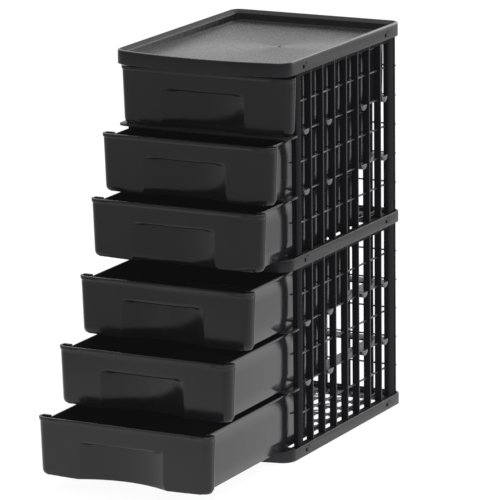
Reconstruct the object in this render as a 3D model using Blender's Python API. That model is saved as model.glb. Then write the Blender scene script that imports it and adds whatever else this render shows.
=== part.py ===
"""Six-drawer plastic storage tower, built from two stacked three-drawer modules.

Frames, lattice side and back panels and runner shelves snap together into the cabinet; six one-piece
drawers slide out of it along -Y. Units are metres, +Z is up, the front faces -Y and the origin is on the
floor under the middle of the cabinet.
"""
import math

import bmesh
import bpy

# ---- driving dimensions -------------------------------------------------------------------------
WIDTH = 0.260                 # outer width of the frames
DEPTH = 0.356                 # depth of the frames between the ends of the bowed front edge
BOW = 0.013                   # how far the middle of the front edge stands forward
FRONT_RADIUS = 0.020
BACK_RADIUS = 0.015
FRAME_HEIGHT = 0.0158         # skirt of the base and middle frames
MODULE_PITCH = 0.2628         # from one frame to the next
TRAY_HEIGHT = 0.0194
DRAWERS_PER_MODULE = 3
GAP = 0.0003                  # clearance between pieces that touch

SKIRT = 0.0025                # wall of every frame skirt
FLOOR_TOP = 0.0128            # top of a frame's floor above its own lowest edge
FLOOR_THICKNESS = 0.0025
SOCKET_DEPTH = 0.0022         # how far a frame drops over the panels below it
BLOCK_WIDTH = 0.016           # solid perimeter under the floor, measured from the outer face

LATTICE_PITCH = 0.036         # fin to fin
FIN_WIDTH = 0.0035
BAR_HEIGHT = 0.0026
PANEL_OUTER_X = 0.1265
PANEL_DEPTH = 0.008
PANEL_FRONT = (-0.1445, -0.1295)     # front post, from front face to rear face
FIRST_FIN_Y = -0.0985
SIDE_FINS = 7
PANEL_REAR = (0.141, 0.159)          # rear post
TOP_RAIL = 0.0052             # visible height of a panel's top rail
BACK_Y = (0.1593, 0.1653)
BACK_HALF_WIDTH = 0.1265
BACK_POST = 0.006

SHELF_THICKNESS = 0.0025
SHELF_INSET = 0.003           # from the frame outline to the shelf's side edges
SHELF_FRONT_Y = -0.172        # chord of the shelf's front edge
SHELF_BOW = 0.005
SHELF_SIDE_X = 0.1182
SHELF_EAR_BACK = -0.1455      # where the wide front part of a shelf ends
SHELF_OPENING = (0.096, -0.138, 0.130)      # half width, front and back of the open middle
SHELF_BACK = 0.155
CLIP_COLUMNS = (0, 2, 5, 7)   # lattice columns that a shelf clip passes through
CLIP_WIDTH = 0.017
CLIP_HEIGHT = 0.008
CLIP_TIP_X = 0.1272
CLIP_ROOT = 0.0012            # how far a clip reaches back into the shelf
CLIP_STEPS = 6

PANEL_HALF_TOP = 0.1285       # half width of a drawer front
PANEL_HALF_BOTTOM = 0.1257
FRONT_Y = -0.1634             # chord of a closed drawer's front
DRAWER_BOW = 0.005            # the fronts are flatter than the frames
FRONT_CORNER = 0.017
DRAWER_HEIGHT = 0.0755        # to the rim of the tub
FRONT_HEIGHT = 0.0783         # to the top of the front
WALL = 0.002
FRONT_WALL = 0.0025
TUB_HALF_TOP = 0.117
TUB_HALF_BOTTOM = 0.1145
TUB_BACK = 0.1535
BACK_DRAFT = 0.0015
WEB_Y = (-0.1486, -0.1466)    # webs that join the front's returns to the tub
GRIP_HALF = 0.063             # finger recess in the drawer front
GRIP_TOP = 0.0505
GRIP_DEPTH = 0.016
PULLS = (0.0, 0.055, 0.089, 0.123, 0.182, 0.241)      # how far each drawer stands open, top to bottom

SLOT_Y = 0.127                # snap slots in the skirts
SLOT_SIZE = 0.005
SLOT_DEPTH = 0.0045
FRAME_SLOT_Z = 0.006
TRAY_SLOT_Z = 0.004
HOLE_PITCH = 0.0365           # through-holes of a frame floor, six rows of eight
HOLE_HALF = (0.008, 0.014)
HOLE_ROWS, HOLE_COLUMNS = 6, 8
TRAY_FLOOR_DEPTH = 0.0145     # below the crest of the tray's rim
TRAY_CHAMFER_DEPTH = 0.0045
TRAY_INSETS = (0.0105, 0.0095, 0.0025)      # of the well at its floor, under the chamfer, at the crest
RUNNER_X = 0.100
RUNNER_HALF = 0.0015
SINK = 0.001                  # how far ribs reach into the floor they stand on
CUT = 0.004                   # how far a cutter reaches past the face it opens
RIB_HALF = 0.003              # centre rib under a frame floor
RIB_ENDS = (-0.165, 0.155)
BOW_STEPS = 12
CORNER_STEPS = 5

DRAWER_PITCH = (MODULE_PITCH - FRAME_HEIGHT) / DRAWERS_PER_MODULE


# ---- scene and materials ------------------------------------------------------------------------
def clear_scene():
    for obj in list(bpy.data.objects):
        bpy.data.objects.remove(obj, do_unlink=True)


def new_collection(name):
    collection = bpy.data.collections.new(name)
    bpy.context.scene.collection.children.link(collection)
    return collection


clear_scene()
PARTS = new_collection("drawer_tower")
CUTTERS = new_collection("cutters")


def plastic(name, colour, roughness):
    material = bpy.data.materials.new(name + "_plastic")
    material.use_nodes = True
    shader = material.node_tree.nodes["Principled BSDF"]
    shader.inputs["Base Color"].default_value = (*colour, 1.0)
    shader.inputs["Roughness"].default_value = roughness
    shader.inputs["Metallic"].default_value = 0.0
    return material


BLACK = (0.020, 0.020, 0.022)
DRAWER_BLACK = (0.024, 0.024, 0.026)
FRAME_ROUGHNESS = 0.45
DRAWER_ROUGHNESS = 0.4


def part(name, mesh, colour=BLACK, roughness=FRAME_ROUGHNESS):
    obj = bpy.data.objects.new(name, mesh)
    PARTS.objects.link(obj)
    if not mesh.materials:
        mesh.materials.append(plastic(name, colour, roughness))
    return obj


def modify(obj, tool_mesh, operation):
    """Boolean obj with a hidden tool made from tool_mesh."""
    tool = bpy.data.objects.new(obj.name + "_tool", tool_mesh)
    CUTTERS.objects.link(tool)
    tool.hide_render = True
    tool.display_type = "WIRE"
    modifier = obj.modifiers.new(operation.lower(), "BOOLEAN")
    modifier.operation = operation
    modifier.solver = "EXACT"
    modifier.object = tool
    return tool


# ---- outlines and solids ------------------------------------------------------------------------
def arc(cx, cy, radius, start, end, steps):
    """Points on a circular arc, both ends included; angles in radians."""
    angles = [start + (end - start) * i / steps for i in range(steps + 1)]
    return [(cx + radius * math.cos(a), cy + radius * math.sin(a)) for a in angles]


def bowed_front(half, y_front, bow, radius):
    """The rounded left corner, the bowed front edge and the rounded right corner."""
    tilt = math.atan(2.0 * bow / (half - radius))
    span = half - radius + radius * math.sin(tilt)
    cy = y_front + radius * math.cos(tilt)
    points = arc(-half + radius, cy, radius, math.pi, 1.5 * math.pi - tilt, CORNER_STEPS)
    for i in range(1, BOW_STEPS):
        x = span * (2.0 * i / BOW_STEPS - 1.0)
        points.append((x, y_front - bow * (1.0 - (x / span) ** 2)))
    points += arc(half - radius, cy, radius, -0.5 * math.pi + tilt, 0.0, CORNER_STEPS)
    return points


def frame_outline(inset=0.0):
    """Plan of the frames, counter-clockwise, moved in by inset."""
    half = WIDTH / 2 - inset
    back = DEPTH / 2 - inset
    front_radius = max(FRONT_RADIUS - inset, 0.003)
    back_radius = max(BACK_RADIUS - inset, 0.003)
    points = bowed_front(half, -DEPTH / 2 + inset, BOW, front_radius)
    points += arc(half - back_radius, back - back_radius, back_radius, 0.0, 0.5 * math.pi, CORNER_STEPS)
    points += arc(-half + back_radius, back - back_radius, back_radius, 0.5 * math.pi, math.pi, CORNER_STEPS)
    return points


def loft(name, sections):
    """Closed solid through plan outlines of equal length: sections are (points, z), lowest first."""
    bm = bmesh.new()
    rings = [[bm.verts.new((x, y, z)) for x, y in points] for points, z in sections]
    for low, high in zip(rings, rings[1:]):
        count = len(low)
        for i in range(count):
            j = (i + 1) % count
            bm.faces.new((low[i], low[j], high[j], high[i]))
    bm.faces.new(reversed(rings[0]))
    bm.faces.new(rings[-1])
    return finish_mesh(bm, name)


def prism(name, points, z0, z1):
    return loft(name, [(points, z0), (points, z1)])


def boxes(name, corners):
    """Separate boxes, each given by its lowest and highest corner."""
    bm = bmesh.new()
    for low, high in corners:
        cube = bmesh.ops.create_cube(bm, size=1.0)["verts"]
        size = [b - a for a, b in zip(low, high)]
        centre = [(a + b) / 2 for a, b in zip(low, high)]
        bmesh.ops.scale(bm, vec=size, verts=cube)
        bmesh.ops.translate(bm, vec=centre, verts=cube)
    return finish_mesh(bm, name)


def finish_mesh(bm, name):
    bmesh.ops.recalc_face_normals(bm, faces=bm.faces)
    mesh = bpy.data.meshes.new(name)
    bm.to_mesh(mesh)
    bm.free()
    return mesh


def lattice(name, us, vs, is_solid, depth, place):
    """Plate with rectangular openings, from a grid of cells whose boundaries are us and vs.

    is_solid(i, j) says which cells are material; place(u, v, d) gives the world point, with d the depth.
    """
    bm = bmesh.new()
    columns = len(us) - 1
    rows = len(vs) - 1
    bmesh.ops.create_grid(bm, x_segments=columns, y_segments=rows, size=1.0)
    cells = {}
    for face in bm.faces:
        centre = face.calc_center_median()
        i = int((centre.x + 1.0) / 2.0 * columns)
        j = int((centre.y + 1.0) / 2.0 * rows)
        cells[face] = (i, j)
    for vert in bm.verts:
        i = round((vert.co.x + 1.0) / 2.0 * columns)
        j = round((vert.co.y + 1.0) / 2.0 * rows)
        vert.co = place(us[i], vs[j], 0.0)
    voids = [face for face, (i, j) in cells.items() if not is_solid(i, j)]
    bmesh.ops.delete(bm, geom=voids, context="FACES")
    extruded = bmesh.ops.extrude_face_region(bm, geom=bm.faces[:], use_keep_orig=True)["geom"]
    offset = [b - a for a, b in zip(place(0, 0, 0.0), place(0, 0, depth))]
    moved = [item for item in extruded if isinstance(item, bmesh.types.BMVert)]
    bmesh.ops.translate(bm, vec=offset, verts=moved)
    return finish_mesh(bm, name)


def bars(first, last, centres, width):
    """Cell boundaries of a lattice: an end post, bars at the centres, and the other end post."""
    edges = list(first)
    for centre in centres:
        edges += [centre - width / 2, centre + width / 2]
    return edges + list(last)


# ---- frames -------------------------------------------------------------------------------------
def grille_slots(z):
    """Rows of through-holes in a frame floor, three rows each side of the middle."""
    holes = []
    half_x, half_y = HOLE_HALF
    for row in range(HOLE_ROWS):
        x = (row - (HOLE_ROWS - 1) / 2) * HOLE_PITCH
        for column in range(HOLE_COLUMNS):
            y = (column - (HOLE_COLUMNS - 1) / 2) * LATTICE_PITCH
            holes.append(((x - half_x, y - half_y, z), (x + half_x, y + half_y, z + 2 * CUT)))
    return boxes("grille_slots", holes)


def snap_slots(z):
    """Small square slots through both side skirts, near the front and the back."""
    slots = []
    for side in (-1, 1):
        for y in (-SLOT_Y, SLOT_Y):
            x0, x1 = sorted((side * (WIDTH / 2 - SLOT_DEPTH), side * (WIDTH / 2 + CUT)))
            slots.append(((x0, y - SLOT_SIZE / 2, z), (x1, y + SLOT_SIZE / 2, z + SLOT_SIZE)))
    return boxes("snap_slots", slots)


def stacking_frame(name, z):
    """Base or middle frame: skirt, slotted floor sunk below the rim, runner ribs and a rib underneath."""
    frame = part(name, prism(name, frame_outline(), z, z + FRAME_HEIGHT))
    well = prism("well", frame_outline(SKIRT), z + FLOOR_TOP, z + FRAME_HEIGHT + CUT)
    socket = prism("socket", frame_outline(SKIRT), z - CUT, z + SOCKET_DEPTH)
    hollow = prism("hollow", frame_outline(BLOCK_WIDTH), z - CUT, z + FLOOR_TOP - FLOOR_THICKNESS)
    y0, y1 = RIB_ENDS
    root = z + FLOOR_TOP - SINK
    ribs = [((-RIB_HALF, y0, z), (RIB_HALF, y1, root))]
    for x in (-RUNNER_X, RUNNER_X):
        ribs.append(((x - RUNNER_HALF, y0, root), (x + RUNNER_HALF, y1, z + FRAME_HEIGHT)))
    modify(frame, well, "DIFFERENCE")
    modify(frame, socket, "DIFFERENCE")
    modify(frame, hollow, "DIFFERENCE")
    modify(frame, grille_slots(z + FLOOR_TOP - FLOOR_THICKNESS - CUT / 2), "DIFFERENCE")
    modify(frame, boxes("ribs", ribs), "UNION")
    modify(frame, snap_slots(z + FRAME_SLOT_Z), "DIFFERENCE")
    return frame


def top_tray(z):
    """Lid: a shallow tray with a chamfered rim, open underneath like the frames."""
    tray = part("top_tray", prism("top_tray", frame_outline(), z, z + TRAY_HEIGHT))
    crest = z + TRAY_HEIGHT
    floor_inset, rim_inset, crest_inset = TRAY_INSETS
    well = loft("well", [(frame_outline(floor_inset), crest - TRAY_FLOOR_DEPTH),
                         (frame_outline(rim_inset), crest - TRAY_CHAMFER_DEPTH),
                         (frame_outline(crest_inset), crest), (frame_outline(crest_inset), crest + CUT)])
    socket = prism("socket", frame_outline(SKIRT), z - CUT, z + SOCKET_DEPTH)
    modify(tray, well, "DIFFERENCE")
    modify(tray, socket, "DIFFERENCE")
    modify(tray, snap_slots(z + TRAY_SLOT_Z), "DIFFERENCE")
    return tray


# ---- lattice panels -----------------------------------------------------------------------------
def panel_levels(z):
    """Heights of the cell boundaries of a panel that stands on the frame at z."""
    bottom = z + FLOOR_TOP + GAP
    top = z + MODULE_PITCH + SOCKET_DEPTH - GAP
    rim = z + FRAME_HEIGHT
    half_pitch = DRAWER_PITCH / 2
    centres = [rim + half_pitch * k for k in range(1, 2 * DRAWERS_PER_MODULE)]
    last = (z + MODULE_PITCH - TOP_RAIL, top)
    return bars((bottom, rim), last, centres, BAR_HEIGHT)


def is_clip_cell(i, j):
    """True where a shelf clip passes instead of a horizontal bar: every other bar, in some columns."""
    column = (i - 1) // 2
    bar = j // 2
    return i % 2 == 1 and j % 2 == 0 and column in CLIP_COLUMNS and bar in (2, 4)


def side_panel(name, side, z):
    """Front post, rear post, fins and bars in one lattice."""
    fins = [FIRST_FIN_Y + LATTICE_PITCH * k for k in range(SIDE_FINS)]
    ys = bars(PANEL_FRONT, PANEL_REAR, fins, FIN_WIDTH)
    zs = panel_levels(z)

    def is_solid(i, j):
        return (i % 2 == 0 or j % 2 == 0) and not is_clip_cell(i, j)

    def place(u, v, d):
        return (side * (PANEL_OUTER_X - d), u, v)

    return part(name, lattice(name, ys, zs, is_solid, PANEL_DEPTH, place))


def back_panel(name, z):
    fins = [LATTICE_PITCH * (k - 2.5) for k in range(6)]
    left = (-BACK_HALF_WIDTH, -BACK_HALF_WIDTH + BACK_POST)
    right = (BACK_HALF_WIDTH - BACK_POST, BACK_HALF_WIDTH)
    xs = bars(left, right, fins, FIN_WIDTH)
    zs = panel_levels(z)

    def is_solid(i, j):
        return i % 2 == 0 or j % 2 == 0

    def place(u, v, d):
        return (u, BACK_Y[0] + d, v)

    return part(name, lattice(name, xs, zs, is_solid, BACK_Y[1] - BACK_Y[0], place))


# ---- shelves ------------------------------------------------------------------------------------
def clip_centres():
    """Y of the middle of each lattice column that a clip passes through."""
    edges = [PANEL_FRONT[1]]
    edges += [FIRST_FIN_Y + LATTICE_PITCH * k for k in range(SIDE_FINS)]
    edges.append(PANEL_REAR[0])
    return [(edges[c] + edges[c + 1]) / 2 for c in CLIP_COLUMNS]


def clips(level):
    """D-shaped snap clips, flat on top and round below, along both sides of a shelf."""
    bm = bmesh.new()
    for side in (-1, 1):
        for y in clip_centres():
            half = CLIP_WIDTH / 2
            curve = arc(0.0, 0.0, 1.0, math.pi, 2.0 * math.pi, CLIP_STEPS)
            profile = [(y + half * u, level + CLIP_HEIGHT / 2 + CLIP_HEIGHT * v) for u, v in curve]
            inner = SHELF_SIDE_X - CLIP_ROOT
            rings = [[bm.verts.new((side * x, py, pz)) for py, pz in profile] for x in (inner, CLIP_TIP_X)]
            bmesh.ops.contextual_create(bm, geom=rings[0])
            bmesh.ops.contextual_create(bm, geom=rings[1])
            for i in range(len(profile)):
                j = (i + 1) % len(profile)
                bm.faces.new((rings[0][i], rings[0][j], rings[1][j], rings[1][i]))
    return finish_mesh(bm, "clips")


def shelf_plan():
    """Bowed front as wide as the frames, then sides that step in to run between the panels."""
    half = WIDTH / 2 - SHELF_INSET
    points = bowed_front(half, SHELF_FRONT_Y, SHELF_BOW, FRONT_RADIUS - SHELF_INSET)
    right = [(half, SHELF_EAR_BACK), (SHELF_SIDE_X, SHELF_EAR_BACK), (SHELF_SIDE_X, SHELF_BACK)]
    return points + right + [(-x, y) for x, y in right[::-1]]


def runner_shelf(name, level):
    """Thin frame under a drawer: wide bowed front, side ledges inside the panels, open middle."""
    low = level - SHELF_THICKNESS
    shelf = part(name, prism(name, shelf_plan(), low, level))
    half, front, back = SHELF_OPENING
    opening = boxes("opening", [((-half, front, low - CUT), (half, back, level + CUT))])
    modify(shelf, opening, "DIFFERENCE")
    modify(shelf, clips(level), "UNION")
    return shelf


# ---- drawers ------------------------------------------------------------------------------------
def front_y(x):
    """Outer face of a closed drawer's front, away from its corners."""
    span = PANEL_HALF_TOP - FRONT_CORNER + FRONT_CORNER * math.sin(2.0 * DRAWER_BOW / PANEL_HALF_TOP)
    return FRONT_Y - DRAWER_BOW * (1.0 - (x / span) ** 2)


def grip_y(x):
    """Face of the concave finger recess."""
    return front_y(GRIP_HALF) + GRIP_DEPTH * (1.0 - (x / GRIP_HALF) ** 2)


def spread(half, steps):
    return [half * (2.0 * i / steps - 1.0) for i in range(steps + 1)]


def tub_plan(half, offset, back):
    """Plan of the drawer tub whose front edge follows the front wall, moved back by offset."""
    points = [(x, front_y(x) + offset) for x in spread(half, BOW_STEPS)]
    return points + [(half, back), (-half, back)]


def front_plan(half):
    """Plan of the front wall: the bowed band with its returns."""
    outer = bowed_front(half, FRONT_Y, DRAWER_BOW, FRONT_CORNER)
    inner = bowed_front(half - FRONT_WALL, FRONT_Y + FRONT_WALL, DRAWER_BOW, FRONT_CORNER - FRONT_WALL)
    return outer + inner[::-1]


def grip_plan(offset, front):
    """Region between the recess face, moved back by offset, and a front curve."""
    half = GRIP_HALF + offset
    rear = [(x, grip_y(min(max(x, -GRIP_HALF), GRIP_HALF)) + offset) for x in spread(half, BOW_STEPS)]
    return [(x, front(x)) for x in spread(half, BOW_STEPS)] + rear[::-1]


def corner_web(side):
    """Vertical web from the tub's side wall to the end of the front's return."""
    levels = ((TUB_HALF_BOTTOM, PANEL_HALF_BOTTOM, 0.0), (TUB_HALF_TOP, PANEL_HALF_TOP, DRAWER_HEIGHT))
    sections = []
    for tub_half, panel_half, z in levels:
        x0, x1 = sorted((side * (tub_half - WALL / 2), side * (panel_half - FRONT_WALL / 2)))
        sections.append(([(x0, WEB_Y[0]), (x1, WEB_Y[0]), (x1, WEB_Y[1]), (x0, WEB_Y[1])], z))
    return loft("web", sections)


def drawer_mesh():
    """One drawer moulding, closed position, with its underside at z = 0."""
    z0, z1 = 0.0, DRAWER_HEIGHT
    half_sheet = FRONT_WALL / 2
    tub = loft("tub", [(tub_plan(TUB_HALF_BOTTOM, half_sheet, TUB_BACK - BACK_DRAFT), z0),
                       (tub_plan(TUB_HALF_TOP, half_sheet, TUB_BACK), z1)])
    drawer = bpy.data.objects.new("drawer_body", tub)
    PARTS.objects.link(drawer)
    inside = FRONT_WALL * 0.8
    back = TUB_BACK - WALL
    hollow = loft("hollow", [(tub_plan(TUB_HALF_BOTTOM - WALL, inside, back - BACK_DRAFT), z0 + WALL),
                             (tub_plan(TUB_HALF_TOP - WALL, inside, back), z1 + GAP)])
    band = loft("band", [(front_plan(PANEL_HALF_BOTTOM), z0), (front_plan(PANEL_HALF_TOP), FRONT_HEIGHT)])
    shell = prism("shell", grip_plan(WALL, lambda x: front_y(x) + half_sheet), z0,
                  GRIP_TOP + WALL)
    scoop = prism("scoop", grip_plan(0.0, lambda x: FRONT_Y - 2 * GRIP_DEPTH), z0 - CUT, GRIP_TOP)
    tools = [modify(drawer, hollow, "DIFFERENCE"), modify(drawer, band, "UNION"),
             modify(drawer, corner_web(-1), "UNION"), modify(drawer, corner_web(1), "UNION"),
             modify(drawer, shell, "UNION"), modify(drawer, scoop, "DIFFERENCE")]
    evaluated = drawer.evaluated_get(bpy.context.evaluated_depsgraph_get())
    mesh = bpy.data.meshes.new_from_object(evaluated)
    for obj in tools + [drawer]:
        bpy.data.objects.remove(obj, do_unlink=True)
    return mesh


# ---- assembly -----------------------------------------------------------------------------------
def drawer_levels():
    """Height of the surface that each drawer slides on, top drawer first."""
    levels = []
    for module in (1, 0):
        base = module * MODULE_PITCH + FRAME_HEIGHT
        levels += [base + DRAWER_PITCH * k for k in range(DRAWERS_PER_MODULE - 1, -1, -1)]
    return levels


def build():
    stacking_frame("base_frame", 0.0)
    stacking_frame("middle_frame", MODULE_PITCH)
    top_tray(2 * MODULE_PITCH)
    for module, storey in enumerate(("lower", "upper")):
        z = module * MODULE_PITCH
        side_panel(storey + "_left_panel", -1, z)
        side_panel(storey + "_right_panel", 1, z)
        back_panel(storey + "_back_panel", z)
    levels = drawer_levels()
    shelf_levels = [level for i, level in enumerate(levels) if i % DRAWERS_PER_MODULE != 2]
    for number, level in enumerate(shelf_levels, start=1):
        runner_shelf("shelf_%d" % number, level)
    mesh = drawer_mesh()
    for number, (level, pull) in enumerate(zip(levels, PULLS), start=1):
        drawer = part("drawer_%d" % number, mesh.copy(), DRAWER_BLACK, DRAWER_ROUGHNESS)
        drawer.location = (0.0, -pull, level + GAP)


build()
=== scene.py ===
"""Looks of a six-drawer plastic storage tower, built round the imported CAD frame."""
import math

import bmesh
import bpy
from mathutils import Matrix, Vector


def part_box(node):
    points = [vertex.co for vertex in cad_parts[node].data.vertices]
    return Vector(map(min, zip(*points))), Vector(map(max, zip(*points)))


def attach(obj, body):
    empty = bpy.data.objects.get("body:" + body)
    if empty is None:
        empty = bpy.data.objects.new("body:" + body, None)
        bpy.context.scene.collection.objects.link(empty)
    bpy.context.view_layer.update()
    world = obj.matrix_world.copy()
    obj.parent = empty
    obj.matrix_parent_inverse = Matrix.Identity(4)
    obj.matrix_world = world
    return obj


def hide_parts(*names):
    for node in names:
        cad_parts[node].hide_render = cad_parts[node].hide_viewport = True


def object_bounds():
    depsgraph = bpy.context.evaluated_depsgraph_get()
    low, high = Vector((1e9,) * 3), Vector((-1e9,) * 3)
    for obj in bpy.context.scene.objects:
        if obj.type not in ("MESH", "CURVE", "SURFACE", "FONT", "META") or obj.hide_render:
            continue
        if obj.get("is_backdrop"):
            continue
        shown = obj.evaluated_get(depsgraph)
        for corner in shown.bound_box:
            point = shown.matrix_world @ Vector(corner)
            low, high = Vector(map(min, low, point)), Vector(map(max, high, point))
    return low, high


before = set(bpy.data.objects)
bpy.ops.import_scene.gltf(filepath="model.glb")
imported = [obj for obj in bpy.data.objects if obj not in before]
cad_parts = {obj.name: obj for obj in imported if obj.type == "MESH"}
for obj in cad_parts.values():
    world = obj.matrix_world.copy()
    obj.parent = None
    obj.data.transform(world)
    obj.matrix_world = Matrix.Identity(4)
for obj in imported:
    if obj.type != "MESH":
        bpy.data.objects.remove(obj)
cad_low, cad_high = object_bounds()

# ---- camera -------------------------------------------------------------------------------------
AZIMUTH, ELEVATION, ROLL = (math.radians(a) for a in (27.0, 12.84, -0.59))
DISTANCE = 5.814
LENS, SENSOR = 304.7, 36.0
TARGET = Vector((0.0, 0.0, 0.2725))
AIM_SHIFT = (-0.0156, -0.0269)            # from the target to the aim, to the right and up


def place_camera():
    """Long lens at DISTANCE from the target, rolled a little and aimed beside it."""
    back = Vector((math.sin(AZIMUTH) * math.cos(ELEVATION), -math.cos(AZIMUTH) * math.cos(ELEVATION),
                   math.sin(ELEVATION)))
    side = Vector((math.cos(AZIMUTH), math.sin(AZIMUTH), 0.0))
    up = back.cross(side)
    right = math.cos(ROLL) * side + math.sin(ROLL) * up
    above = math.cos(ROLL) * up - math.sin(ROLL) * side
    place = TARGET + DISTANCE * back
    aim = TARGET + AIM_SHIFT[0] * right + AIM_SHIFT[1] * above
    z = (place - aim).normalized()
    x = (right - right.dot(z) * z).normalized()
    y = z.cross(x)
    data = bpy.data.cameras.new("camera")
    data.lens = LENS
    data.sensor_width = SENSOR
    data.clip_start, data.clip_end = 0.1, 100.0
    camera = bpy.data.objects.new("camera", data)
    bpy.context.scene.collection.objects.link(camera)
    camera.matrix_world = Matrix.Translation(place) @ Matrix((x, y, z)).transposed().to_4x4()
    bpy.context.scene.camera = camera


# ---- studio -------------------------------------------------------------------------------------
WORLD_FRONT, WORLD_BACK = 0.24, 0.75      # strength of the world's light, in front and behind
LIGHTS = (("right_rear", (1.1, 2.9, 1.2), (0.0, 0.0, 0.25), (2.2, 1.8), 30.0),
          ("above", (-0.1, 0.45, 3.0), (-0.1, 0.45, 0.0), (3.4, 3.4), 52.0))
FLOOR_GREY, FLOOR_GLOW, FLOOR_EDGE, FLOOR_GAP = 0.12, 0.94, 12.0, 0.0004
VIEW_GAMMA = 1.15
# Directions in which the floor's own light fades: towards (x, y), from and to a distance, to a strength
FLOOR_FADES = (((0.45, -0.9), 0.55, 1.00, 0.44),
               ((-0.9, -0.45), 0.60, 0.90, 0.42),
               ((0.9, 0.45), 0.50, 1.00, 0.66))


def node(tree, kind, **values):
    """New node whose named inputs take the given values."""
    made = tree.nodes.new(kind)
    for name, value in values.items():
        made.inputs[name.replace("_", " ")].default_value = value
    return made


def area_light(name, place, aim, size, watts):
    """Rectangular light at a place, turned to its aim."""
    data = bpy.data.lights.new(name, "AREA")
    data.shape = "RECTANGLE"
    data.size, data.size_y = size
    data.energy = watts
    light = bpy.data.objects.new(name, data)
    bpy.context.scene.collection.objects.link(light)
    light.location = place
    light.rotation_mode = "QUATERNION"
    light.rotation_quaternion = (Vector(aim) - Vector(place)).to_track_quat("-Z", "Y")


def math_node(tree, operation, first, second):
    """Output of a Math node; each input is a socket or a number."""
    made = tree.nodes.new("ShaderNodeMath")
    made.operation = operation
    for socket, value in zip(made.inputs, (first, second)):
        if isinstance(value, float):
            socket.default_value = value
        else:
            tree.links.new(value, socket)
    return made.outputs[0]


def faded_glow(tree):
    """Strength of the floor's own light: full in the middle, the least of the fades further out."""
    coord = tree.nodes.new("ShaderNodeTexCoord")
    split = tree.nodes.new("ShaderNodeSeparateXYZ")
    tree.links.new(coord.outputs["Object"], split.inputs[0])
    glow = None
    for (x, y), near, far, dimmed in FLOOR_FADES:
        along = math_node(tree, "ADD", math_node(tree, "MULTIPLY", split.outputs["X"], x),
                          math_node(tree, "MULTIPLY", split.outputs["Y"], y))
        fade = node(tree, "ShaderNodeMapRange", From_Min=near, From_Max=far, To_Min=FLOOR_GLOW,
                    To_Max=dimmed)
        tree.links.new(along, fade.inputs["Value"])
        strength = fade.outputs["Result"]
        glow = strength if glow is None else math_node(tree, "MINIMUM", glow, strength)
    return glow


def world_light():
    """White surroundings, dim in front of the object and brighter behind it."""
    world = bpy.data.worlds.new("studio")
    world.use_nodes = True
    tree = world.node_tree
    background = tree.nodes["Background"]
    background.inputs["Color"].default_value = (1.0, 1.0, 1.0, 1.0)
    coord = tree.nodes.new("ShaderNodeTexCoord")
    split = tree.nodes.new("ShaderNodeSeparateXYZ")
    spread = node(tree, "ShaderNodeMapRange", From_Min=0.05, From_Max=0.65, To_Min=WORLD_FRONT,
                  To_Max=WORLD_BACK)
    tree.links.new(coord.outputs["Generated"], split.inputs[0])
    tree.links.new(split.outputs["Y"], spread.inputs["Value"])
    tree.links.new(spread.outputs["Result"], background.inputs["Strength"])
    bpy.context.scene.world = world


def pale_floor():
    """Matt floor just under the object, with a light of its own."""
    edge = FLOOR_EDGE
    mesh = bpy.data.meshes.new("floor")
    mesh.from_pydata([(-edge, -edge, 0), (edge, -edge, 0), (edge, edge, 0), (-edge, edge, 0)], [],
                     [(0, 1, 2, 3)])
    floor = bpy.data.objects.new("floor", mesh)
    bpy.context.scene.collection.objects.link(floor)
    floor.location.z = cad_low.z - FLOOR_GAP
    material = bpy.data.materials.new("floor_paint")
    material.use_nodes = True
    tree = material.node_tree
    shader = tree.nodes["Principled BSDF"]
    shader.inputs["Base Color"].default_value = (FLOOR_GREY, FLOOR_GREY, FLOOR_GREY, 1.0)
    shader.inputs["Roughness"].default_value = 0.8
    shader.inputs["Emission Color"].default_value = (1.0, 1.0, 1.0, 1.0)
    tree.links.new(faded_glow(tree), shader.inputs["Emission Strength"])
    mesh.materials.append(material)
    floor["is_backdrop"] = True


def studio():
    """World, lights, floor and view."""
    world_light()
    for light in LIGHTS:
        area_light(*light)
    pale_floor()
    view = bpy.context.scene.view_settings
    view.view_transform = "Standard"
    view.look = "None"
    view.gamma = VIEW_GAMMA


# ---- plastic ------------------------------------------------------------------------------------
FAINT_GLOW = 0.0025                       # painted light: the plastic glows faintly, which keeps the deepest insides just above black


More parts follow.
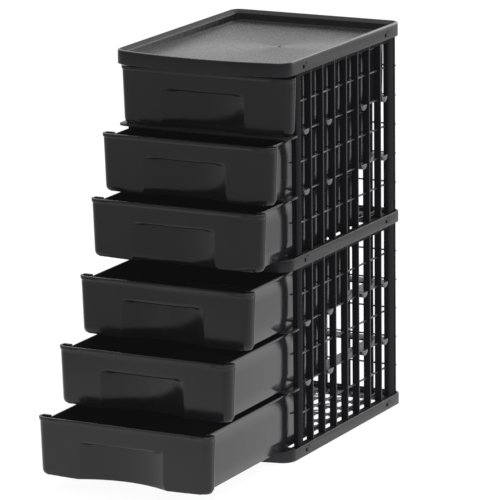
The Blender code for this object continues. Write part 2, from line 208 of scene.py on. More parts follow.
def plastic(name, colour, roughness, gloss_level, grain=0.12, rings=None):
    """Moulded black plastic: fine grain, soft mottling, sharp edges painted lighter as a highlight, uneven
    gloss, and a faint painted glow.

    rings is how far the middle of the fine turned marks is moved; only the tray's floor has them.
    """
    material = bpy.data.materials.new(name)
    material.use_nodes = True
    tree = material.node_tree
    link = tree.links.new
    shader = tree.nodes["Principled BSDF"]
    shader.inputs["Specular IOR Level"].default_value = gloss_level
    # painted light: a faint glow of the plastic itself
    shader.inputs["Emission Color"].default_value = (1.0, 1.0, 1.05, 1.0)
    shader.inputs["Emission Strength"].default_value = FAINT_GLOW
    coord = tree.nodes.new("ShaderNodeTexCoord")
    mottle = node(tree, "ShaderNodeTexNoise", Scale=14.0, Detail=3.0)
    scuff = node(tree, "ShaderNodeTexNoise", Scale=160.0, Detail=4.0)
    fine = node(tree, "ShaderNodeTexNoise", Scale=1500.0, Detail=2.0)
    stretch = node(tree, "ShaderNodeMapping", Scale=(1.0, 1.0, 0.15))
    for texture in (mottle, fine):
        link(coord.outputs["Object"], texture.inputs["Vector"])
    link(coord.outputs["Object"], stretch.inputs["Vector"])
    link(stretch.outputs["Vector"], scuff.inputs["Vector"])
    shade = tree.nodes.new("ShaderNodeValToRGB")
    low, high = shade.color_ramp.elements
    low.position, high.position = 0.35, 0.65
    low.color = (*(0.85 * c for c in colour), 1.0)
    high.color = (*(1.15 * c for c in colour), 1.0)
    link(mottle.outputs["Fac"], shade.inputs["Fac"])
    # painted highlight: the sharper an edge (by pointiness), the lighter its colour, up to 2.6 times the
    # base
    geometry = tree.nodes.new("ShaderNodeNewGeometry")
    edge_highlight = node(tree, "ShaderNodeMapRange", From_Min=0.52, From_Max=0.60, To_Min=0.0, To_Max=0.5)
    link(geometry.outputs["Pointiness"], edge_highlight.inputs["Value"])
    mix = tree.nodes.new("ShaderNodeMix")
    mix.data_type = "RGBA"
    mix.inputs["B"].default_value = (*(2.6 * c for c in colour), 1.0)
    link(edge_highlight.outputs["Result"], mix.inputs["Factor"])
    link(shade.outputs["Color"], mix.inputs["A"])
    link(mix.outputs["Result"], shader.inputs["Base Color"])
    gloss = node(tree, "ShaderNodeMapRange", From_Min=0.3, From_Max=0.7, To_Min=roughness - 0.05,
                 To_Max=roughness + 0.06)
    link(scuff.outputs["Fac"], gloss.inputs["Value"])
    link(gloss.outputs["Result"], shader.inputs["Roughness"])
    bump = node(tree, "ShaderNodeBump", Strength=grain, Distance=0.0002)
    link(fine.outputs["Fac"], bump.inputs["Height"])
    wave = node(tree, "ShaderNodeBump", Strength=0.25, Distance=0.0008)
    link(mottle.outputs["Fac"], wave.inputs["Height"])
    link(wave.outputs["Normal"], bump.inputs["Normal"])
    if rings:
        place = node(tree, "ShaderNodeMapping", Location=rings)
        turned = node(tree, "ShaderNodeTexWave", Scale=150.0, Distortion=0.8, Detail=1.0)
        turned.wave_type, turned.rings_direction = "RINGS", "Z"
        marks = node(tree, "ShaderNodeBump", Strength=0.28, Distance=0.0003)
        link(coord.outputs["Object"], place.inputs["Vector"])
        link(place.outputs["Vector"], turned.inputs["Vector"])
        link(turned.outputs["Fac"], marks.inputs["Height"])
        link(bump.outputs["Normal"], marks.inputs["Normal"])
        bump = marks
    link(bump.outputs["Normal"], shader.inputs["Normal"])
    return material


# ---- mesh tools ---------------------------------------------------------------------------------
def arc(cx, cy, radius, start, end, steps):
    """Points on a circular arc, both ends included; angles in radians."""
    angles = [start + (end - start) * i / steps for i in range(steps + 1)]
    return [(cx + radius * math.cos(a), cy + radius * math.sin(a)) for a in angles]


def lerp(a, b, t):
    """Value a share t of the way from a to b."""
    return a + (b - a) * t


def skin(bm, rings, loop=False):
    """Closed surface through rings of equal length; loop joins the last ring to the first."""
    rings = [[bm.verts.new(point) for point in ring] for ring in rings]
    pairs = list(zip(rings, rings[1:]))
    if loop:
        pairs.append((rings[-1], rings[0]))
    else:
        bm.faces.new(rings[0][::-1])
        bm.faces.new(rings[-1])
    for one, two in pairs:
        for i in range(len(one)):
            j = (i + 1) % len(one)
            bm.faces.new((one[i], one[j], two[j], two[i]))


def rounded(u0, v0, u1, v1, radius, steps=3):
    """Rectangle with rounded corners, counter-clockwise."""
    quarter = 0.5 * math.pi
    points = []
    for k, (u, v) in enumerate(((u0 + radius, v0 + radius), (u1 - radius, v0 + radius),
                                (u1 - radius, v1 - radius), (u0 + radius, v1 - radius))):
        points += arc(u, v, radius, quarter * (k + 2), quarter * (k + 3), steps)
    return points


def bar(bm, low, high, radius, axis=2):
    """Box whose long edges along axis are rounded and whose ends are softened."""
    u, v = ((1, 2), (2, 0), (0, 1))[axis]
    soft = 0.6 * radius
    rings = []
    for inset, t in ((soft, low[axis]), (0.0, low[axis] + soft), (0.0, high[axis] - soft),
                     (soft, high[axis])):
        ring = []
        for a, b in rounded(low[u] + inset, low[v] + inset, high[u] - inset, high[v] - inset,
                            radius - 0.5 * inset):
            point = [0.0, 0.0, 0.0]
            point[u], point[v], point[axis] = a, b, t
            ring.append(point)
        rings.append(ring)
    skin(bm, rings)


def strut(bm, start, end, width, z0, z1):
    """Flat rib between two plan points."""
    along = (Vector(end) - Vector(start)).normalized() * width / 2
    across = Vector((-along.y, along.x))
    plan = [Vector(start) - across, Vector(end) - across, Vector(end) + across, Vector(start) + across]
    skin(bm, [[(p.x, p.y, z) for p in plan] for z in (z0, z1)])


def finished(bm, name, angle=32.0):
    """Mesh of bm, smooth but for the edges sharper than angle."""
    bmesh.ops.recalc_face_normals(bm, faces=bm.faces)
    mesh = bpy.data.meshes.new(name)
    bm.to_mesh(mesh)
    bm.free()
    for face in mesh.polygons:
        face.use_smooth = True
    mesh.set_sharp_from_angle(angle=math.radians(angle))
    return mesh


def carve(mesh, cutters):
    """Mesh with the boxes cut out of it; each box is (low, high, radius)."""
    bm = bmesh.new()
    for low, high, radius in cutters:
        bar(bm, low, high, radius, axis=0)
    tool = bpy.data.objects.new("tool", finished(bm, "tool"))
    body = bpy.data.objects.new("body", mesh)
    for obj in (tool, body):
        bpy.context.scene.collection.objects.link(obj)
    modifier = body.modifiers.new("cut", "BOOLEAN")
    modifier.operation, modifier.solver, modifier.object = "DIFFERENCE", "EXACT", tool
    bpy.context.view_layer.update()
    result = bpy.data.meshes.new_from_object(body.evaluated_get(bpy.context.evaluated_depsgraph_get()))
    result.name = mesh.name
    for obj in (tool, body):
        bpy.data.objects.remove(obj, do_unlink=True)
    return result


def painted(mesh, materials, choose=lambda face: 0):
    """Mesh with the materials put on; choose gives a face's place in them."""
    for material in materials:
        mesh.materials.append(material)
    for face in mesh.polygons:
        face.material_index = choose(face)
    return mesh


def piece(name, mesh, body, stands_for):
    """Object for a mesh that rides on a body and stands for a CAD node."""
    obj = bpy.data.objects.new(name, mesh)
    bpy.context.scene.collection.objects.link(obj)
    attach(obj, body)
    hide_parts(stands_for)
    return obj


# ---- plans --------------------------------------------------------------------------------------
WIDTH, DEPTH, BOW = 0.260, 0.356, 0.013
FRONT_RADIUS, BACK_RADIUS = 0.020, 0.015
FRAME_HEIGHT = 0.0158
MODULE_PITCH = 0.2628
DRAWER_PITCH = (MODULE_PITCH - FRAME_HEIGHT) / 3
CORNER_STEPS, BOW_STEPS = 9, 36


def bowed_front(half, y_front, bow, radius, places=None):
    """Rounded left corner, bowed front edge and rounded right corner; places run from -1 to 1."""
    tilt = math.atan(2.0 * bow / (half - radius))
    span = half - radius + radius * math.sin(tilt)
    cy = y_front + radius * math.cos(tilt)
    if places is None:
        places = [2.0 * i / BOW_STEPS - 1.0 for i in range(1, BOW_STEPS)]
    points = arc(-half + radius, cy, radius, math.pi, 1.5 * math.pi - tilt, CORNER_STEPS)
    points += [(span * u, y_front - bow * (1.0 - u * u)) for u in places]
    points += arc(half - radius, cy, radius, -0.5 * math.pi + tilt, 0.0, CORNER_STEPS)
    return points


def frame_outline(inset):
    """Plan of a frame's edge, moved in by inset, counter-clockwise."""
    half = WIDTH / 2 - inset
    back = DEPTH / 2 - inset
    front_radius = max(FRONT_RADIUS - inset, 0.003)
    radius = max(BACK_RADIUS - inset, 0.003)
    points = bowed_front(half, -DEPTH / 2 + inset, BOW, front_radius)
    points += arc(half - radius, back - radius, radius, 0.0, 0.5 * math.pi, CORNER_STEPS)
    points += arc(-half + radius, back - radius, radius, 0.5 * math.pi, math.pi, CORNER_STEPS)
    return points


def swept(profile, z):
    """Rings of the frame outline at each (inset, height) of a profile."""
    return [[(x, y, z + h) for x, y in frame_outline(inset)] for inset, h in profile]


# ---- frames -------------------------------------------------------------------------------------
SKIRT_PROFILE = ((0.0008, 0.0), (0.0002, 0.0003), (0.0, 0.0010), (0.0, 0.0145), (0.0002, 0.0153),
                 (0.0009, 0.0158), (0.0018, 0.0158), (0.0024, 0.0154), (0.0026, 0.0147),
                 (0.0028, 0.0136), (0.0034, 0.0130), (0.0044, 0.0128), (0.0160, 0.0128),
                 (0.0165, 0.0124), (0.0165, 0.0022), (0.0025, 0.0022), (0.0025, 0.0004), (0.0021, 0.0))
DECK_LOW, DECK_TOP = 0.0103, 0.0128
DECK_HALF, DECK_REACH = 0.1145, 0.150
DECK_ENDS = ((-0.1690, -0.1405), (0.1405, 0.1640))
TRUSS_BANDS = ((0.005, 0.031), (0.047, 0.066), (0.082, 0.1015))
CELL, CELLS = 0.036, 8
CROSS_RIB, EDGE_RIB, CENTRE_RIB, RUNNER_RIB, TRUSS_RIB = 0.0070, 0.0026, 0.006, 0.0030, 0.0018
RUNNER_X, RUNNER_ENDS = 0.100, (-0.165, 0.158)
CENTRE_ENDS = (-0.165, 0.160)
BLOCK_HALF, BLOCK_FRONT = 0.060, -DEPTH / 2 + 0.0135
SLOT_Y = (-0.127, 0.127)
FRAME_SLOTS, TRAY_SLOTS = 0.0055, 0.0045  # heights of the slots over each piece's lowest edge
GROOVE_DEEP, SLOT_DEEP, SLOT_PAST = 0.0010, 0.0022, -0.003
SLOT_CUTS = ((SLOT_DEEP, -0.0028, 0.0028, 0.0, 0.0052), (GROOVE_DEEP, 0.0045, 0.0054, -0.001, 0.0075),
             (GROOVE_DEEP, 0.0056, 0.0096, 0.0066, 0.0075), (GROOVE_DEEP, 0.0098, 0.0107, 0.0010, 0.0075))


def snap_slots(z):
    """Square slots with a fine U-shaped groove beside each, for both side skirts."""
    cuts = []
    for side in (-1, 1):
        for y in SLOT_Y:
            for depth, y0, y1, z0, z1 in SLOT_CUTS:
                x0, x1 = sorted(side * (WIDTH / 2 - d) for d in (depth, SLOT_PAST))
                cuts.append(((x0, y + y0, z + z0), (x1, y + y1, z + z1), 0.0002))
    return cuts


def stacking_frame(name, z, material):
    """Skirt with a flat rim, and a deck of cross ribs, bands of truss ribs and runner ribs."""
    bm = bmesh.new()
    skin(bm, swept(SKIRT_PROFILE, z), loop=True)
    skirt = carve(finished(bm, name), snap_slots(z + FRAME_SLOTS))
    bm = bmesh.new()
    bm.from_mesh(skirt)
    low, top = z + DECK_LOW, z + DECK_TOP

    def rib(x, width, ys, z0, z1, radius):
        bar(bm, (x - width / 2, ys[0], z0), (x + width / 2, ys[1], z1), radius, axis=1)

    for y0, y1 in DECK_ENDS:
        bar(bm, (-DECK_HALF, y0, low), (DECK_HALF, y1, top - 0.0001), 0.0006, axis=0)
    bow = BOW * (1.0 - (BLOCK_HALF / 0.122) ** 2)
    bar(bm, (-BLOCK_HALF, BLOCK_FRONT - bow, low), (BLOCK_HALF, -DECK_REACH, top - 0.0002), 0.0006, axis=0)
    rib(0.0, CENTRE_RIB, CENTRE_ENDS, z, top - 0.0002, 0.0006)
    for side in (-1, 1):
        for inner, outer in TRUSS_BANDS:
            a, b = side * inner, side * outer
            for x in (a, b):
                rib(x, EDGE_RIB, (-DECK_REACH, DECK_REACH), low, top - 0.0003, 0.0005)
            for k in range(CELLS):
                y = CELL * (k - CELLS // 2)
                strut(bm, (a, y + 0.002), (b, y + CELL / 2), TRUSS_RIB, low + 0.0004, top - 0.0005)
                strut(bm, (b, y + CELL / 2), (a, y + CELL - 0.002), TRUSS_RIB, low + 0.0004, top - 0.0006)
        rib(side * RUNNER_X, RUNNER_RIB, RUNNER_ENDS, top - 0.001, z + FRAME_HEIGHT, 0.0005)
    for k in range(CELLS + 1):
        y = CELL * (k - CELLS // 2)
        bar(bm, (-DECK_HALF, y - CROSS_RIB / 2, low), (DECK_HALF, y + CROSS_RIB / 2, top - 0.0004),
            0.0006, axis=0)
    mesh = painted(finished(bm, name), [material])
    return piece(name + "_moulding", mesh, "cabinet", name)


TRAY_PROFILE = ((0.0180, 0.0049), (0.0140, 0.0049), (0.0120, 0.0052), (0.0109, 0.0060), (0.0105, 0.0074),
                (0.0098, 0.0138), (0.0096, 0.0146), (0.0088, 0.0154), (0.0046, 0.0184), (0.0038, 0.0191),
                (0.0031, 0.0194), (0.0017, 0.0194), (0.0008, 0.0190), (0.0003, 0.0182), (0.0, 0.0170),
                (0.0, 0.0012), (0.0002, 0.0004), (0.0008, 0.0), (0.0019, 0.0), (0.0024, 0.0004),
                (0.0025, 0.0022), (0.0040, 0.0022))
TRAY_GATE = (0.028, 0.005)
TRAY_GATE_PROFILE = ((0.0034, -0.0004), (0.0030, 0.0002), (0.0024, 0.0003), (0.0018, 0.0001),
                     (0.0010, 0.0001), (0.0006, 0.0007), (0.0002, 0.0008))
CREST_START = 0.0165                      # from here up, outside, the rim is its crest: glossier, and painted lighter as a highlight


def gate_mark(bm, x, y, z, profile):
    """Small round moulding gate; profile holds radii and heights over z."""
    rings = []
    for radius, h in profile:
        rings.append([(px, py, z + h) for px, py in arc(x, y, radius, 0.0, 1.9 * math.pi, 19)])
    skin(bm, rings)


def top_tray(name, z, material, floor_material, crest_highlight_material):
    """Lid with a raised, chamfered rim round a recessed floor."""
    bm = bmesh.new()
    skin(bm, swept(TRAY_PROFILE, z))
    mesh = carve(finished(bm, name), snap_slots(z + TRAY_SLOTS))
    bm = bmesh.new()
    bm.from_mesh(mesh)
    floor = z + TRAY_PROFILE[0][1]
    gate_mark(bm, *TRAY_GATE, floor, TRAY_GATE_PROFILE)

    def choose(face):
        up = face.normal.z
        outward = face.normal.xy.dot(face.center.xy) > 0.0
        if up > 0.9 and face.center.z < floor + 0.002:
            return 1
        # the crest's faces take the lighter crest colour: a painted highlight
        if up > 0.25 and face.center.z > z + CREST_START and (up > 0.97 or outward):
            return 2
        return 0

    mesh = painted(finished(bm, name), [material, floor_material, crest_highlight_material], choose)
    return piece(name + "_moulding", mesh, "cabinet", name)


# ---- lattice panels -----------------------------------------------------------------------------
PANEL_OUTER = 0.1265
FRONT_POST, REAR_POST = (-0.1445, -0.1295), (0.141, 0.159)
POST_FACE, POST_RETURN, POST_DEPTH = 0.0034, 0.0032, 0.0075
BACK_POST, BACK_BAR_HALF = 0.006, 0.1278
FIN, FIN_PITCH, FIN_DEPTH = 0.0033, 0.036, 0.0103
FINS = [-0.0985 + FIN_PITCH * k for k in range(7)]
BACK_FINS = [FIN_PITCH * (k - 2.5) for k in range(6)]
EDGES = [FRONT_POST[1]] + FINS + [REAR_POST[0]]
BAR, BAR_DEPTHS, BAR_OVERLAP = 0.0021, (0.0050, 0.0080), 0.0012
RAIL, RAIL_DEPTHS = 0.0073, (0.0005, 0.0075)
CLIP_COLUMNS = (0, 2, 5, 7)               # openings that the shelves' clips fill
PANEL_GAP = 0.0131                        # from a frame's lowest edge to a panel's


def bar_levels(z):
    """Heights of the thin bars in a module whose lower frame starts at z."""
    return [z + FRAME_HEIGHT + DRAWER_PITCH / 2 * k for k in range(1, 6)]


def side_panel(name, side, material, bar_highlight_material, lit_face_material):
    """Side lattice: an L-shaped front post, a rear post, rails, deep fins and bars set back.

    The outer faces of the fins and of the front post's rear edge take a lighter material, a painted
    highlight.
    """
    low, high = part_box(name)
    z = low.z - PANEL_GAP
    bm = bmesh.new()

    def put(depths, ys, zs, radius, axis):
        x0, x1 = sorted(side * (PANEL_OUTER - d) for d in depths)
        bar(bm, (x0, ys[0], zs[0]), (x1, ys[1], zs[1]), radius, axis)

    whole = (low.z, high.z)
    put((0.0, POST_FACE), FRONT_POST, whole, 0.0012, 2)
    put((0.0002, POST_DEPTH), (FRONT_POST[0], FRONT_POST[0] + POST_RETURN), whole, 0.0012, 2)
    put((0.0, 0.008), REAR_POST, whole, 0.0016, 2)
    for y in FINS:
        put((0.0, FIN_DEPTH), (y - FIN / 2, y + FIN / 2), whole, 0.0009, 2)
    middle = (FRONT_POST[1] - 0.002, REAR_POST[0] + 0.002)
    put(RAIL_DEPTHS, middle, (low.z + 0.0002, z + FRAME_HEIGHT), 0.0006, 1)
    put(RAIL_DEPTHS, middle, (high.z - RAIL, high.z - 0.0002), 0.0008, 1)
    # the bars take a lighter colour: a painted highlight
    first_bar = len(bm.faces)
    for k, level in enumerate(bar_levels(z)):
        for column, (y0, y1) in enumerate(zip(EDGES, EDGES[1:])):
            if k % 2 == 0 or column not in CLIP_COLUMNS:
                put(BAR_DEPTHS, (y0 - BAR_OVERLAP, y1 + BAR_OVERLAP), (level - BAR / 2, level + BAR / 2),
                    0.0007, 1)

    # outward faces of the fins and of the post's rear edge: painted highlight
    def choose(face):
        if face.index >= first_bar:
            return 1
        outward = side * face.normal.x
        on_rim = abs(face.center.y - FRONT_POST[1]) < 0.0012
        on_fin = any(abs(face.center.y - y) < FIN for y in FINS)
        return 2 if (on_fin and outward > 0.8) or (on_rim and outward > 0.3) else 0

    mesh = painted(finished(bm, name), [material, bar_highlight_material, lit_face_material], choose)
    return piece(name + "_grille", mesh, "cabinet", name)


def back_panel(name, material, bar_highlight_material):
    """Back lattice: a post at either end, rails, fins, and bars right across."""
    low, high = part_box(name)
    z = low.z - PANEL_GAP
    y0, y1 = low.y, high.y
    bm = bmesh.new()
    for side in (-1, 1):
        x0, x1 = sorted((side * high.x, side * (high.x - BACK_POST)))
        bar(bm, (x0, y0, low.z), (x1, y1, high.z), 0.0012)
    for x in BACK_FINS:
        bar(bm, (x - FIN / 2, y0, low.z + 0.0001), (x + FIN / 2, y1, high.z - 0.0001), 0.0009)
    half = high.x - BACK_POST / 2
    bar(bm, (-half, y0 + 0.0005, low.z + 0.0002), (half, y1 - 0.0005, z + FRAME_HEIGHT), 0.0006, axis=0)
    bar(bm, (-half, y0 + 0.0005, high.z - RAIL), (half, y1 - 0.0005, high.z - 0.0002), 0.0008, axis=0)
    # the bars take a lighter colour: a painted highlight
    first_bar = len(bm.faces)
    for level in bar_levels(z):
        bar(bm, (-BACK_BAR_HALF, y0 + 0.0018, level - BAR / 2),
            (BACK_BAR_HALF, y1 - 0.0006, level + BAR / 2), 0.0007, axis=0)
    mesh = painted(finished(bm, name), [material, bar_highlight_material], lambda face: int(face.index >= first_bar))
    return piece(name + "_grille", mesh, "cabinet", name)


# ---- shelves ------------------------------------------------------------------------------------
SHELF_HALF, SHELF_SIDE = 0.1292, 0.1182
SHELF_FRONT, SHELF_BOW, SHELF_CORNER = -0.172, 0.005, 0.013
SHELF_EAR, SHELF_BACK = -0.1455, 0.155    # where the wide front part ends, and the rear edge
SHELF_OPENING = (-0.096, -0.138, 0.096, 0.130)
SHELF_THICK = 0.0025
CLIP_TOP, CLIP_RISE, CLIP_DROP, CLIP_HALF = 0.004, 0.0026, 0.0070, 0.0083
CLIP_PROFILE = ((0.1165, 0.0), (0.1264, 0.0), (0.1270, 0.0004), (0.1272, 0.0012))
CLIP_FACE = 0.1262


def shelf_plate(bm, top):
    """Flat runner frame with a bowed front edge and bevelled rims."""
    outer = bowed_front(SHELF_HALF, SHELF_FRONT, SHELF_BOW, SHELF_CORNER)
    right = [(SHELF_HALF, SHELF_EAR), (SHELF_SIDE, SHELF_EAR), (SHELF_SIDE, SHELF_BACK)]
    outer += right + [(-x, y) for x, y in right[::-1]]
    edges = []
    for points in (outer, rounded(*SHELF_OPENING, 0.004)):
        verts = [bm.verts.new((x, y, top - SHELF_THICK)) for x, y in points]
        edges += [bm.edges.new((a, b)) for a, b in zip(verts, verts[1:] + verts[:1])]
    filled = bmesh.ops.triangle_fill(bm, use_beauty=True, edges=edges)["geom"]
    faces = [item for item in filled if isinstance(item, bmesh.types.BMFace)]
    raised = bmesh.ops.extrude_face_region(bm, geom=faces, use_keep_orig=True)["geom"]
    verts = [item for item in raised if isinstance(item, bmesh.types.BMVert)]
    bmesh.ops.translate(bm, vec=(0, 0, SHELF_THICK), verts=verts)
    bmesh.ops.recalc_face_normals(bm, faces=bm.faces)
    rim = [edge for edge in bm.edges if len(edge.link_faces) == 2 and edge.calc_face_angle() > 0.6]
    bmesh.ops.bevel(bm, geom=rim, offset=0.0007, segments=2, affect="EDGES", profile=0.5,
                    clamp_overlap=True)


def shelf_clip(bm, side, y, half, level):
    """D-shaped clip, flat on top, that comes out through an opening of the side lattice."""
    rings = []
    for x, shrink in CLIP_PROFILE:
        top, drop = level + CLIP_RISE - shrink, CLIP_DROP - 2 * shrink
        rings.append([(side * x, y + (half - shrink) * u, top + drop * v)
                      for u, v in arc(0.0, 0.0, 1.0, math.pi, 2.0 * math.pi, 14)])
    skin(bm, rings)


def runner_shelf(name, material, clip_highlight_material):
    """Thin frame between two drawers, with the clips that hold it in the side lattices."""
    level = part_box(name)[1].z - CLIP_TOP
    bm = bmesh.new()
    shelf_plate(bm, level)
    for side in (-1, 1):
        for column in CLIP_COLUMNS:
            y0, y1 = EDGES[column], EDGES[column + 1]
            shelf_clip(bm, side, (y0 + y1) / 2, min(CLIP_HALF, (y1 - y0) / 2 - 0.001), level)

    # the clips' outer end faces take a lighter colour: a painted highlight
    def choose(face):
        return int(abs(face.center.x) > CLIP_FACE and face.center.y > SHELF_EAR)

    mesh = painted(finished(bm, name), [material, clip_highlight_material], choose)
    return piece(name + "_moulding", mesh, "cabinet", name)


# ---- drawers ------------------------------------------------------------------------------------
HALF_BOTTOM, HALF_TOP = 0.1257, 0.1285    # half widths of the front
FRONT_Y, DRAWER_BOW, FRONT_CORNER = -0.1634, 0.0045, 0.012
FRONT_WALL, FRONT_TOP = 0.0025, 0.0778
CROWN, CROWN_START = 0.0012, 0.0520
STRAIGHT = HALF_TOP - FRONT_CORNER
SPAN = STRAIGHT + FRONT_CORNER * math.sin(math.atan(2 * DRAWER_BOW / STRAIGHT))
SCOOP_HALF, SCOOP_DEPTH = 0.0615, 0.0165
SCOOP_FLARE, FLARE_TOP = 0.0045, 0.010
LEDGE, LEDGE_RISE, LEDGE_REACH = 0.0505, 0.0012, 0.025
CORNER_START, CORNER_LENGTH = 0.092, 0.025
PINCH, PINCH_TOP = 0.0024, 0.006          # how far the front's corners draw in at the bottom
LIP_FLARE = 1.6                           # how much more the lip stands out at the corners
LOW_ROWS = (0.0008, 0.0025, 0.0045, 0.007, 0.010, 0.014, 0.020, 0.027, 0.034, 0.041)
# Heights and shares of the scoop's depth, from the scoop over its ledge to the flat front
LEDGE_ROWS = ((0.0465, 1.0), (0.0482, 1.0), (0.0486, 1.05), (0.0492, 1.09), (0.0498, 1.07), (0.0501, 0.9),
              (0.0502, 0.5), (0.0503, 0.16), (0.0505, 0.13), (0.0521, 0.01), (0.0525, 0.0))
# Heights and offsets inward, from the flat front over its lip and down the inside
TOP_ROWS = ((0.0560, 0.0), (0.0620, 0.0), (0.0680, 0.0), (0.0722, 0.0), (0.0728, -0.0001),
            (0.0733, -0.0004), (0.0770, -0.0005), (0.0775, -0.0003), (0.0778, 0.0003), (0.0778, 0.0019),
            (0.0776, 0.0023), (0.0770, 0.0025), (0.0650, 0.0025), (0.0570, 0.0025))


def scoop_half(z):
    """Half width of the scoop, which flares at its bottom."""
    return SCOOP_HALF + SCOOP_FLARE * max(0.0, 1.0 - z / FLARE_TOP) ** 2


def stations():
    """Places across the front, close together at the scoop's ends, as fractions of its span."""
    places = [2.0 * i / 44 - 1.0 for i in range(1, 44)]
    for x in (-0.006, -0.003, -0.0012, 0.0, 0.0012, 0.003, 0.006):
        places += [(SCOOP_HALF + x) / SPAN, -(SCOOP_HALF + x) / SPAN]
    return sorted(places)


def warped(u, z):
    """Place across the front with the scoop's ends moved out where it flares."""
    mid, end = SCOOP_HALF / SPAN, scoop_half(z) / SPAN
    if abs(u) <= mid:
        return u * end / mid
    return math.copysign(end + (abs(u) - mid) * (1.0 - end) / (1.0 - mid), u)


def scoop_depth(x, z, share):
    """How far the scoop goes in at x, for a share of its full depth."""
    t = x / scoop_half(z)
    return share * SCOOP_DEPTH * max(0.0, 1.0 - t * t)


def front_height(x, z):
    """Height of a row of the front at x: the ledge rises to its ends and the top edge is crowned."""
    near_ledge = max(0.0, 1.0 - abs(z - LEDGE) / LEDGE_REACH)
    lift = LEDGE_RISE * min(1.0, (x / SCOOP_HALF) ** 2) * near_ledge
    top = max(0.0, z - CROWN_START) / (FRONT_TOP - CROWN_START)
    return z + lift + CROWN * top * max(0.0, 1.0 - (x / SPAN) ** 2)


def front_row(z, offset, share):
    """One row of points round the front, from the left return's end to the right one's."""
    half = lerp(HALF_BOTTOM, HALF_TOP, z / FRONT_TOP)
    places = [warped(u, z) for u in stations()]
    row = bowed_front(half - offset, FRONT_Y + offset, DRAWER_BOW, FRONT_CORNER - offset, places)
    pinch = PINCH * max(0.0, 1.0 - z / PINCH_TOP) ** 2
    tucked = bowed_front(half - offset - pinch, FRONT_Y + offset + pinch, DRAWER_BOW,
                         FRONT_CORNER - offset - pinch, places)
    proud = max(0.0, -offset) * LIP_FLARE
    lipped = bowed_front(half - offset + proud, FRONT_Y + offset - proud / 3, DRAWER_BOW,
                         FRONT_CORNER - offset, places)
    points = []
    for (x, y), (tx, ty), (lx, ly) in zip(row, tucked, lipped):
        corner = min(1.0, max(0.0, (abs(x) - CORNER_START) / CORNER_LENGTH))
        x, y = lerp(x, tx, corner), lerp(y, ty, corner)
        if proud:
            x, y = lerp(x, lx, corner), lerp(y, ly, corner)
        points.append((x, y + scoop_depth(x, z, share), front_height(x, z)))
    return points


def front_wall(bm):
    """Front with its scoop, ledge and lip: rows up the outside, over the top and down the inside."""
    rows = [(0.0, 0.0009, 1.0), (0.0002, 0.0003, 1.0)]
    rows += [(z, 0.0, 1.0) for z in LOW_ROWS]
    rows += [(z, 0.0, share) for z, share in LEDGE_ROWS]
    rows += [(z, offset, 0.0) for z, offset in TOP_ROWS]
    rows += [(z + 0.002, FRONT_WALL, share) for z, share in LEDGE_ROWS[::-1]]
    rows += [(z, FRONT_WALL, 1.0) for z in LOW_ROWS[::-1]]
    rows.append((0.0, 0.0018, 1.0))
    grid = [front_row(*row) for row in rows]
    skin(bm, [list(ring) for ring in zip(*grid)])


TUB_BOTTOM, TUB_TOP, TUB_RIM = 0.1148, 0.1153, 0.0755    # half widths, and the height of the rim
TUB_BACK, TUB_LEAN, TUB_CORNER, TUB_WALL = 0.1535, 0.0015, 0.006, 0.0020
TUB_STEP = 0.0530                         # below it the tub's front follows the scoop
UNDER_STEP, OVER_STEP = TUB_STEP - 0.0001, TUB_STEP + 0.0001
OUTER_GAP, INNER_GAP = 0.0007, 0.0017     # from the front's outer face to the tub's two skins
TUB_PROFILE = ((0.0012, 0.0), (0.0004, 0.0003), (0.0, 0.0012), (0.0, 0.020), (0.0, UNDER_STEP),
               (0.0, OVER_STEP), (0.0, 0.0712), (-0.0002, 0.0716), (-0.0004, 0.0719), (-0.0005, 0.0746),
               (-0.0003, 0.0753), (0.0002, 0.0755), (0.0014, 0.0755), (0.0019, 0.0751), (0.0020, 0.0744),
               (0.0020, OVER_STEP), (0.0020, UNDER_STEP), (0.0020, 0.020), (0.0020, 0.0060),
               (0.0024, 0.0040), (0.0034, 0.0027), (0.0050, 0.0021), (0.0070, 0.0020))


def tub_row(inset, z, steps=48):
    """Plan of the tub at one height; its front edge runs inside the front wall."""
    half = lerp(TUB_BOTTOM, TUB_TOP, z / TUB_RIM) - inset
    back = lerp(TUB_BACK - TUB_LEAN, TUB_BACK, z / TUB_RIM) - inset
    share = 1.0 if z < TUB_STEP else 0.0
    gap = OUTER_GAP if inset <= 0.001 else INNER_GAP + max(0.0, inset - TUB_WALL)
    points = []
    for i in range(steps + 1):
        x = half * (2.0 * i / steps - 1.0)
        y = FRONT_Y - DRAWER_BOW * (1.0 - (x / SPAN) ** 2) + scoop_depth(x, z, share)
        points.append((x, y + gap, z))
    radius = TUB_CORNER - min(0.003, max(0.0, inset))
    points += [(x, y, z) for x, y in arc(half - radius, back - radius, radius, 0.0, 0.5 * math.pi, 6)]
    points += [(x, y, z) for x, y in arc(radius - half, back - radius, radius, 0.5 * math.pi, math.pi, 6)]
    return points


WEB_FRONT, WEB_BACK = -0.1500, -0.1462
WEB_ROWS = ((0.0004, 0.0032), (0.0025, 0.0014), (0.0060, 0.0), (0.0762, 0.0), (0.0772, 0.0003),
            (0.0776, 0.0008))
DRAWER_GATE_PROFILE = ((0.0045, -0.0004), (0.0040, 0.0002), (0.0030, 0.0002), (0.0012, 0.0001),
                       (0.0007, 0.0008), (0.0002, 0.0009))


def side_web(bm, side):
    """Wall from the tub's side to the front's return, rounded at its outer ends."""
    rings = []
    for z, soft in WEB_ROWS:
        near = lerp(TUB_BOTTOM, TUB_TOP, z / TUB_RIM) - 0.0005
        far = lerp(HALF_BOTTOM, HALF_TOP, z / TUB_RIM) - 0.0004 - soft
        x0, x1 = sorted((side * near, side * far))
        plan = rounded(x0, WEB_FRONT + soft / 4, x1, WEB_BACK - soft / 4, 0.0007)
        rings.append([(x, y, z) for x, y in plan])
    skin(bm, rings)


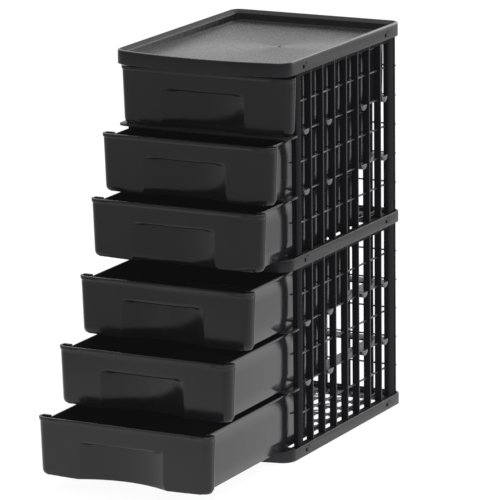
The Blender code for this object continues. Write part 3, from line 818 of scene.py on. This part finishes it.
def drawer_mesh():
    """One drawer, closed, with its underside at z = 0."""
    bm = bmesh.new()
    front_wall(bm)
    skin(bm, [tub_row(inset, z) for inset, z in TUB_PROFILE])
    for side in (-1, 1):
        side_web(bm, side)
    gate_mark(bm, 0.0, 0.0, TUB_WALL, DRAWER_GATE_PROFILE)
    return finished(bm, "drawer_moulding")


# ---- assembly -----------------------------------------------------------------------------------
place_camera()
studio()
FRAME_BLACK = plastic("frame_black", (0.013, 0.013, 0.0145), 0.28, 0.13)
# the lattice plastic is darker than the frames': a painted shade
LATTICE_SHADE = plastic("lattice_painted_shade", (0.005, 0.005, 0.006), 0.50, 0.01)
# the clips' outer faces are lighter than the shelf: a painted highlight
CLIP_HIGHLIGHT = plastic("clip_painted_highlight", (0.040, 0.040, 0.044), 0.34, 0.50)
# the lattice bars are much lighter than the lattice: a painted highlight
BAR_HIGHLIGHT = plastic("bar_painted_highlight", (0.034, 0.034, 0.037), 0.34, 0.50)
TRAY_BLACK = plastic("tray_black", (0.013, 0.013, 0.0145), 0.26, 0.13)
# crest colour about three times the tray's: a painted highlight along the rim
TRAY_CREST_HIGHLIGHT = plastic("tray_crest_painted_highlight", (0.042, 0.042, 0.046), 0.24, 0.80)
TRAY_FLOOR = plastic("tray_floor", (0.018, 0.018, 0.020), 0.22, 0.75, grain=0.05,
                     rings=(-TRAY_GATE[0], -TRAY_GATE[1], 0.0))
DRAWER_BLACK = plastic("drawer_black", (0.009, 0.009, 0.0105), 0.11, 0.23)
for name in ("base_frame", "middle_frame"):
    stacking_frame(name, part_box(name)[0].z, FRAME_BLACK)
top_tray("top_tray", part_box("top_tray")[0].z, TRAY_BLACK, TRAY_FLOOR, TRAY_CREST_HIGHLIGHT)
for storey in ("lower", "upper"):
    for hand, side in (("left", -1), ("right", 1)):
        # the frame plastic, lighter than the lattice, paints a highlight on the lattice's outer faces
        side_panel("%s_%s_panel" % (storey, hand), side, LATTICE_SHADE, BAR_HIGHLIGHT, FRAME_BLACK)
    back_panel(storey + "_back_panel", LATTICE_SHADE, BAR_HIGHLIGHT)
for number in range(1, 5):
    runner_shelf("shelf_%d" % number, FRAME_BLACK, CLIP_HIGHLIGHT)
drawer_moulding = painted(drawer_mesh(), [DRAWER_BLACK])
for number in range(1, 7):
    name = "drawer_%d" % number
    low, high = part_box(name)
    drawer = piece(name + "_moulding", drawer_moulding, name, name)
    drawer.location = (0.0, high.y - TUB_BACK, low.z)

low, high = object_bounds()
